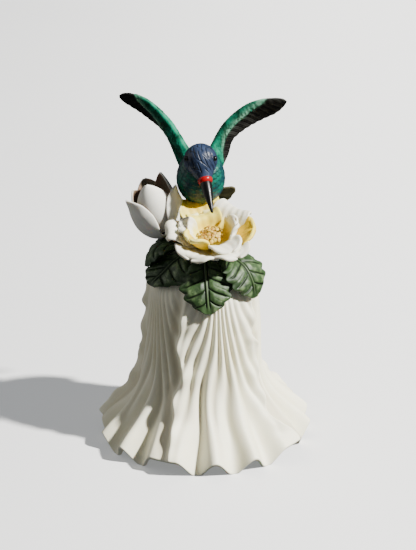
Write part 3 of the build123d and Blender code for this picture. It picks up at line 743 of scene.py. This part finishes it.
def leaves(material):
    leaf("leaf_front", 3, DRAPED + [(22.3, 57.4)], material, 1.02, 0.8)
    leaf("leaf_front_left", -50, DRAPED[:3] + [(20.8, 65.4), (21.6, 63.8)], material, 1.12, -3.4, 0.3)
    leaf("leaf_left", -92, ARCHED, material, 1.05, -0.6, 0.6)
    leaf("leaf_right", 50, HELD_OUT + [(22.1, 59.8)], material, 1.08, 2.2, 0.2)
    leaf("leaf_back_right", 112, DRAPED + [(22.2, 58.0)], material, 0.98, 0.8, 0.5)
    leaf("leaf_back", 168, DRAPED + [(22.2, 57.4)], material, 0.98, -0.8, 0.1)
    leaf("leaf_back_left", -140, DRAPED + [(22.2, 58.4)], material, 0.98, 0.6, 0.4)


# ---- Stamens ----


def tube_points(path, radii, sides=8):
    """Rings round a path of points, as a rows by sides grid."""
    path = np.asarray(path, float)
    ahead = unit(np.gradient(path, axis=0))
    across = unit(np.cross(ahead, (0.31, 0.17, 0.94)))
    other = np.cross(ahead, across)
    turn = np.linspace(0, 2 * math.pi, sides, endpoint=False)
    ring = np.cos(turn)[None, :, None] * across[:, None] + np.sin(turn)[None, :, None] * other[:, None]
    return path[:, None] + ring * np.asarray(radii, float)[:, None, None]


STAMEN_COUNT = 38
GOLDEN_ANGLE = 137.5


def stamens(material):
    """Threads in a spiral, each bent outwards and swollen at its tip."""
    rng = np.random.default_rng(11)
    points, faces, tips = [], [], []
    count = 0
    for index in range(STAMEN_COUNT):
        azimuth = index * GOLDEN_ANGLE
        ring = math.sqrt((index + 0.5) / STAMEN_COUNT)
        foot = FLOWER.at(azimuth, 2.1 * ring, 3.2)
        top_radius = 4.6 * ring + rng.uniform(-0.3, 0.3)
        top_azimuth = azimuth + rng.uniform(-8, 8)
        top = FLOWER.at(top_azimuth, top_radius, 8.2 - 2.2 * ring**2 + rng.uniform(-0.5, 0.5))
        bend = FLOWER.at(azimuth, top_radius * 0.62, 6.0 - 0.8 * ring)
        t = np.concatenate([np.linspace(0, 0.9, 7), np.linspace(0.92, 1, 6)])
        path = through([foot, bend, top], t)
        radii = np.array([0.24] * 6 + [0.28, 0.5, 0.7, 0.76, 0.66, 0.42, 0.05])
        grid = tube_points(path, radii)
        rings, sides = grid.shape[:2]
        faces += [[vertex + count for vertex in face] for face in grid_faces(rings, sides, wrap_columns=True)]
        points.append(grid.reshape(-1, 3))
        tips.append(np.repeat(ramp(t, 0.88, 0.93), sides))
        count += rings * sides
    points = np.concatenate(points)
    uv = np.zeros((len(points), 2))
    tints = {"tip": np.concatenate(tips)}
    make_piece("stamens_tuft", points, faces, uv, tints, material, "bell", ["stamens"])


def stamen_look():
    look = Shader("stamen_paint")
    tip = look.mix(look.cloud(500, 3, 0.35, 0.65), (0.42, 0.2, 0.02), (0.6, 0.46, 0.08))
    stalk = look.mix(look.cloud(300, 3, 0.3, 0.7), (0.72, 0.58, 0.2), (0.8, 0.7, 0.36))
    look.set(Base_Color=look.mix(look.mask("tip"), stalk, tip), Roughness=0.6)
    look.set(Normal=look.bump(look.noise(2200, 3), 0.08, 0.5))
    return look.material


# ---- The bird ----


def turned_piece(name, base, profile, relief, material, stands_for, rows, columns):
    """A body turned about an axis: profile is (radius, height) points from its bottom to its top."""
    turn = np.linspace(0, 360, columns, endpoint=False)
    t, azimuth = np.meshgrid(np.linspace(0, 1, rows), turn, indexing="ij")
    spot = through(profile, t)
    ahead = heading(profile, t)
    raised, masks = relief(t, azimuth)
    radius = np.maximum(spot[..., 0] + ahead[..., 1] * raised, 0.01)
    points = base.at(azimuth, radius, spot[..., 1] - ahead[..., 0] * raised).reshape(-1, 3)
    faces = grid_faces(rows, columns, wrap_columns=True, flip=True)
    faces.append(list(range(columns)))
    faces.append([(rows - 1) * columns + i for i in range(columns)][::-1])
    uv = np.stack(unit_grid(rows, columns), -1).reshape(-1, 2)
    tints = {key: value.reshape(-1) for key, value in masks.items()}
    make_piece(name, points, faces, uv, tints, material, "bell", stands_for)


def scale_pattern(t, azimuth, rows, around, jitter):
    """Overlapping rounded feathers: their height, and how near a point is to a feather's lower edge."""
    along_body = t * rows
    row = np.floor(along_body)
    across = azimuth / 360 * around + 0.5 * (row % 2) + jitter * np.sin(row * 2.1)
    side = np.abs(across % 1 - 0.5) * 2
    part = along_body - row - 0.28 * side**2
    part = np.where(part < 0, part + 1, part)
    return 1 - part, ridge(part, 0.16)


HEAD = Base((-2.0, 2.0, 107.4), (0.197, -0.673, -0.711))
HEAD_RADIUS = 6.1
BODY = Base((-2.0, 8.4, 98.4), (0.02, -0.46, 0.89))


def body_relief(t, azimuth):
    """Rows of small overlapping feathers, which fade out at both ends of the body."""
    height, edge = scale_pattern(t, azimuth, 15, 26, 0.3)
    fade = ramp(t, 0.04, 0.15) * ramp(1 - t, 0.05, 0.2)
    masks = {"groove": 0.85 * edge * fade, "belly": 1 - ramp(t, 0.02, 0.4)}
    return 0.42 * height * fade, masks


def head_relief(t, azimuth):
    """Long incised strokes from the nape to the bill, with short slanting ones between them."""
    away = np.radians(azimuth)
    over = np.sin(math.pi * t) * np.sin(away)
    sweep = 4.2 * over + 0.35 * np.sin(6 * t + 2 * np.cos(away))
    line = ridge(sweep % 1 - 0.5, 0.1)
    broken = ramp(np.sin(t * 17 + np.floor(sweep) * 2.4), -0.8, -0.3)
    slant = 3.5 * over + 9 * t + 1.5 * np.cos(away)
    cross = ridge(slant % 1 - 0.5, 0.07) * ramp(np.sin(5 * over + 2.1 * np.floor(slant)), 0.2, 0.6)
    groove = np.clip(line * broken + 0.8 * cross, 0, 1) * ramp(t, 0.02, 0.1) * ramp(1 - t, 0.04, 0.14)
    return -0.26 * groove, {"groove": 0.9 * groove}


def plain_relief(t, azimuth):
    return 0 * t, {}


NECK_PROFILE = [(3.6, 5.7), (2.7, 7.3), (2.45, 7.9)]  # where the round head narrows to the bill
BODY_PROFILE = [
    (0.1, -10.3), (2.6, -9.6), (5.9, -7.2), (8.2, -3.0),
    (8.6, 0.6), (7.8, 4.8), (6.2, 8.4), (3.0, 11.0),
]
BAND_PROFILE = [(2.3, 7.5), (2.62, 7.8), (2.68, 8.4), (2.5, 9.0), (2.1, 9.5), (1.5, 9.6)]
BILL_PROFILE = [
    (2.1, 9.2), (2.1, 9.9), (1.85, 12.5), (1.45, 15.2),
    (0.95, 18.2), (0.55, 20.4), (0.3, 21.1), (0.05, 21.3),
]


def bird(head, body, red, black):
    arc = np.radians(np.linspace(-90, 36, 12))
    head_profile = [(HEAD_RADIUS * math.cos(a), HEAD_RADIUS * math.sin(a)) for a in arc] + NECK_PROFILE
    pieces = (
        ("bird_crown", HEAD, head_profile, head_relief, head, "head_blue", "bird_head", 150, 200),
        ("bird_breast", BODY, BODY_PROFILE, body_relief, body, "body_teal", "bird_body", 160, 220),
        ("beak_ring", HEAD, BAND_PROFILE, plain_relief, red, "band_red", "beak_band", 30, 64),
        ("bill", HEAD, BILL_PROFILE, plain_relief, black, "beak_black", "beak", 60, 48),
    )
    for name, base, profile, relief, material, slot, node, rows, columns in pieces:
        turned_piece(name, base, profile, relief, material, [node], rows, columns)


# Points of the leading and trailing edges, from the shoulder to the tip.
WING_RIGHT = (
    ((-0.5, 6.0, 105.5), (4.2, 12.0, 98.0)),
    ((2.0, 9.8, 110.6), (8.2, 13.6, 106.0)),
    ((4.2, 10.8, 114.8), (9.9, 14.0, 111.4)),
    ((7.2, 11.0, 119.2), (12.4, 14.0, 114.0)),
    ((10.7, 11.1, 122.6), (15.0, 14.1, 115.9)),
    ((14.9, 11.2, 125.6), (18.4, 14.2, 117.9)),
    ((19.4, 11.2, 127.2), (21.6, 14.0, 119.6)),
    ((24.0, 11.2, 127.8), (25.3, 13.6, 121.5)),
    ((27.6, 11.3, 127.5), (27.8, 13.0, 123.8)),
    ((29.2, 11.5, 126.6), (29.0, 12.4, 125.6)),
)
WING_LEFT = (
    ((-3.4, 6.0, 105.5), (-8.2, 12.0, 98.0)),
    ((-6.0, 9.0, 108.4), (-11.0, 13.6, 104.0)),
    ((-8.4, 9.8, 111.8), (-12.8, 14.2, 108.6)),
    ((-11.2, 9.8, 116.0), (-14.6, 14.8, 112.4)),
    ((-14.2, 9.8, 120.2), (-17.4, 14.8, 116.0)),
    ((-17.6, 9.8, 124.2), (-20.9, 14.8, 118.9)),
    ((-21.4, 10.2, 127.4), (-24.2, 14.6, 121.6)),
    ((-25.4, 10.8, 129.2), (-27.4, 14.0, 123.9)),
    ((-29.4, 11.4, 129.6), (-30.4, 13.4, 126.2)),
    ((-31.4, 11.8, 128.8), (-31.4, 12.8, 127.6)),
)


# Share of the chord that is green, from the shoulder to the tip.
GREEN_RIGHT = [
    (0, 1.2), (0.1, 1.1), (0.2, 0.62), (0.45, 0.42), (0.68, 0.3), (0.8, 0.02), (0.85, -0.3), (1, -0.3),
]
GREEN_LEFT = [
    (0, 1.2), (0.4, 1.15), (0.52, 0.85), (0.64, 0.62), (0.76, 0.4), (0.85, 0.05), (0.9, -0.3), (1, -0.3),
]


def wing(name, stations, mirrored, green_edge, material, node):
    """A wing from its leading and trailing lines, round at the front and feathered behind."""
    rows, columns = 190, 90
    u, v = unit_grid(rows, columns)
    lead = through([station[0] for station in stations], u)
    trail = through([station[1] for station in stations], u)
    flow = u * 15 + (1 - v) * 2.2
    quill = flow % 1
    scallop = 0.035 * (np.abs(np.sin(math.pi * flow)) - 0.6) * ramp(v, 0.55, 1) * ramp(u, 0.25, 0.4)
    chord = trail - lead
    middle = lead + chord * (v + scallop)[..., None]
    bow = np.sin(math.pi * np.clip(v, 0, 1)) * along([(0, 0.2), (0.4, 1.2), (0.8, 1.3), (1, 0.2)], u)
    normal = grid_normals(middle)
    if mirrored:
        middle, normal = middle[:, ::-1], -normal[:, ::-1]
        u, v, bow, quill = u[:, ::-1], v[:, ::-1], bow[:, ::-1], quill[:, ::-1]
    middle = middle + normal * bow[..., None] * 0.5
    fat = along([(0, 4.2), (0.12, 3.6), (0.35, 2.8), (0.7, 1.9), (0.92, 1.2), (1, 0.5)], u)
    thickness = fat * (1 - 0.72 * ramp(v, 0.22, 0.8)) + 0.2
    past_green = v - along(green_edge, u)
    green = 1 - ramp(past_green, -0.04, 0.04)
    fringe = ridge(past_green + 0.1, 0.14) * ramp(u, 0.15, 0.3)
    feathered = (1 - green) * ramp(u, 0.08, 0.2)
    shaft = ridge(quill - 0.5, 0.07) * feathered
    seam = ridge(np.minimum(quill, 1 - quill), 0.06) * feathered
    down = value_noise(np.stack([u * 60, v * 16, 0 * u], -1), 5) * green
    relief = 0.16 * shaft - 0.26 * seam + 0.3 * down + 0.35 * green * ramp(v, 0.0, 0.2)
    masks = {"green": green, "groove": 0.9 * seam, "light": fringe}
    shape = {"edge": 2.4, "under": relief, "tip": 0.04}
    sheet_piece(name, middle, thickness, relief, masks, material, "wing_paint", [node], **shape)


TAIL_FEATHERS = 8
TAIL_LENGTH = 12.6
TAIL_PIVOT = np.array((-1.0, 13.0, 91.0))
TAIL_AIM = unit((0.2, 0.6, -0.77))
TAIL_SIDE = unit((0.94, 0.0, 0.34))


def tail(material):
    """A fan of separate feathers, each a thin blade with a shaft, laid one over the next."""
    grids, faces, uvs, grooves = [], [], [], []
    count = 0
    for index in range(TAIL_FEATHERS):
        angle = math.radians(24 + index * 132 / (TAIL_FEATHERS - 1))
        ahead = TAIL_SIDE * math.cos(angle) + TAIL_AIM * math.sin(angle)
        side = -TAIL_SIDE * math.sin(angle) + TAIL_AIM * math.cos(angle)
        face_up = np.cross(ahead, side)
        rows, columns = 60, 31
        u, v = unit_grid(rows, columns, -1)
        half = along([(0, 0.6), (0.3, 1.6), (0.7, 2.7), (0.9, 2.4), (0.97, 1.4), (1, 0.2)], u)
        lift = (0.28 * (index % 2) - 0.14) + 0.25 * (1 - v**2) + 0.12 * v * (index - 3.5) / 3.5
        middle = TAIL_PIVOT + ahead * (u * TAIL_LENGTH)[..., None]
        middle = middle + side * (v * half)[..., None] + face_up * lift[..., None]
        barb = ridge((u * 16 - np.abs(v) * 1.6) % 1 - 0.5, 0.2) * ramp(1 - np.abs(v), 0, 0.2)
        shaft = ridge(v * half, 0.22)
        thickness = np.full_like(u, 0.9)
        relief = 0.16 * shaft - 0.07 * barb
        points, sheet_faces = closed_sheet(middle, thickness, relief, edge=4.0, tip=0.06)
        grids.append(points)
        faces += [[vertex + count for vertex in face] for face in sheet_faces]
        uvs.append(fold(np.stack([u + index, v], -1)))
        grooves.append(fold(0.5 * barb + 0.6 * ramp(np.abs(v), 0.85, 1)))
        count += len(points)
    tints = {"groove": np.concatenate(grooves)}
    points = np.concatenate(grids)
    uv = np.concatenate(uvs)
    make_piece("tail_fan", points, faces, uv, tints, material, "bell", ["bird_tail"])


# ---- Build ----

bell_material = bell_look()
leaf_material = leaf_look()
bell_piece(bell_material)
leaves(leaf_material)
flower(petal_look())
bud(bud_look())
stamens(stamen_look())

body_teal = ((0.002, 0.02, 0.034), (0.004, 0.1, 0.068))
belly_green = ((0.001, 0.045, 0.02), (0.006, 0.12, 0.05))
body_paint = feather_look("body_paint", body_teal, 0.3, (30, 60, 1), "belly", belly_green)
head_paint = feather_look("head_paint", ((0.009, 0.016, 0.036), (0.024, 0.04, 0.085)), 0.34, (14, 40, 1))
wing_black = ((0.008, 0.008, 0.007), (0.03, 0.03, 0.026))
wing_green = ((0.0, 0.036, 0.017), (0.008, 0.22, 0.125))
wing_paint = feather_look(
    "wing_paint", wing_black, 0.42, (240, 10, 1), "green", wing_green, shine=0.12, pale=(0.16, 0.36, 0.24)
)
tail_paint = feather_look("tail_paint", ((0.075, 0.062, 0.022), (0.15, 0.125, 0.055)), 0.5, (60, 12, 1))
red = enamel("band_enamel", (0.33, 0.004, 0.006), (0.24, 0.003, 0.004), 0.2)
black = enamel("beak_enamel", (0.003, 0.003, 0.003), (0.0015, 0.0015, 0.0015), 0.3)
bird(head_paint, body_paint, red, black)
wing("right_wing", WING_RIGHT, False, GREEN_RIGHT, wing_paint, "wing_right")
wing("left_wing", WING_LEFT, True, GREEN_LEFT, wing_paint, "wing_left")
tail(tail_paint)

brass = brass_look()
glazed = enamel("bead_glaze", (0.86, 0.84, 0.78), (0.82, 0.79, 0.72), 0.12)
carried = {
    "crown_plug": bell_material,
    "hanger_staple": brass,
    "clapper_link": brass,
    "clapper_rod": brass,
    "clapper_bead": glazed,
    "flower_calyx": leaf_material,
    "bud_stem": leaf_material,
    "bird_support": leaf_material,
    "eyes": black,
}
for name, material in carried.items():
    mesh = NODES[name].data
    mesh.materials.clear()
    mesh.materials.append(material)


# ---- Floor, light and camera ----

FLOOR_FLAT = 1.0  # radius in metres
FLOOR_CLIMB = 2.6  # how much further it rises
FLOOR_RIM = 0.8  # height of its rim
SUN_FROM = (0.64, -0.235, 0.67)
FILL_FROM = (-0.8, 0.1, 0.5)
LIT_POINT = (0, 0, 0.06)
VIEW_ELEVATION = math.radians(22)
VIEW_DISTANCE = 0.56


def floor_look():
    """Pale card, with painted shade making it darker to the left, where the light falls off."""
    look = Shader("floor_card")
    split = look.node("SeparateXYZ")
    look.put(look.place.outputs["Object"], split.inputs["Vector"])
    # Painted shade: the card darkens towards the left, as if the light fell off there.
    sideways = look.remap(split.outputs["X"], -0.25, 0.2)
    cloud = look.cloud(3, 2, 0.3, 0.7, -0.02, 0.02)
    falloff_shade_and_tone = look.math("ADD", sideways, cloud)
    look.set(Base_Color=look.mix(falloff_shade_and_tone, (0.56, 0.565, 0.57), (0.95, 0.955, 0.955)))
    look.set(Roughness=0.9, Specular_IOR_Level=0.1)
    look.set(Emission_Color=(0.92, 0.96, 1.0), Emission_Strength=0.22)
    return look.material


def bowl_floor():
    """A pale round floor that rises gently all round, like a wide bowl."""
    climb = np.linspace(0, 1, 30)
    radius = np.concatenate([np.linspace(0.01, FLOOR_FLAT, 12), FLOOR_FLAT + FLOOR_CLIMB * climb[1:]])
    rise = np.concatenate([np.zeros(12), FLOOR_RIM * climb[1:] ** 2])
    azimuth = np.linspace(0, 2 * math.pi, 96, endpoint=False)
    points = [(r * math.sin(a), -r * math.cos(a), z) for r, z in zip(radius, rise) for a in azimuth]
    faces = grid_faces(len(radius), len(azimuth), wrap_columns=True, flip=True) + [list(range(len(azimuth)))]
    mesh = bpy.data.meshes.new("floor")
    mesh.from_pydata(points, [], faces)
    mesh.shade_smooth()
    mesh.materials.append(floor_look())
    floor = add_object("floor", mesh)
    # The card lights the object less than a real one would, so that its shaded side stays dark.
    floor.visible_diffuse = False
    floor.visible_glossy = False


def light(name, kind, energy, location, **settings):
    """A lamp that shines on the middle of the object."""
    data = bpy.data.lights.new(name, kind)
    data.energy = energy
    for key, value in settings.items():
        setattr(data, key, value)
    lamp = add_object(name, data)
    lamp.location = location
    lamp.rotation_euler = (Vector(LIT_POINT) - Vector(location)).to_track_quat("-Z", "Y").to_euler()


bowl_floor()
light("sun", "SUN", 13.0, SUN_FROM, angle=math.radians(3.0), color=(1.0, 0.98, 0.94))
light("fill", "AREA", 2.0, FILL_FROM, size=0.7, color=(1.0, 0.97, 0.9), specular_factor=0.3)

world = bpy.data.worlds.new("room")
bpy.context.scene.world = world
world.use_nodes = True
background = world.node_tree.nodes["Background"].inputs
background["Color"].default_value = (0.9, 0.93, 1.0, 1)
background["Strength"].default_value = 0.16

lens = bpy.data.cameras.new("camera")
lens.sensor_width = 36
lens.lens = 99.2
camera = add_object("camera", lens)
aim = Vector((0.00066, 0, 0.0636))
back = Vector((0, -math.cos(VIEW_ELEVATION), math.sin(VIEW_ELEVATION)))
camera.location = aim + back * VIEW_DISTANCE
camera.rotation_euler = (-back).to_track_quat("-Z", "Y").to_euler()
bpy.context.scene.camera = camera
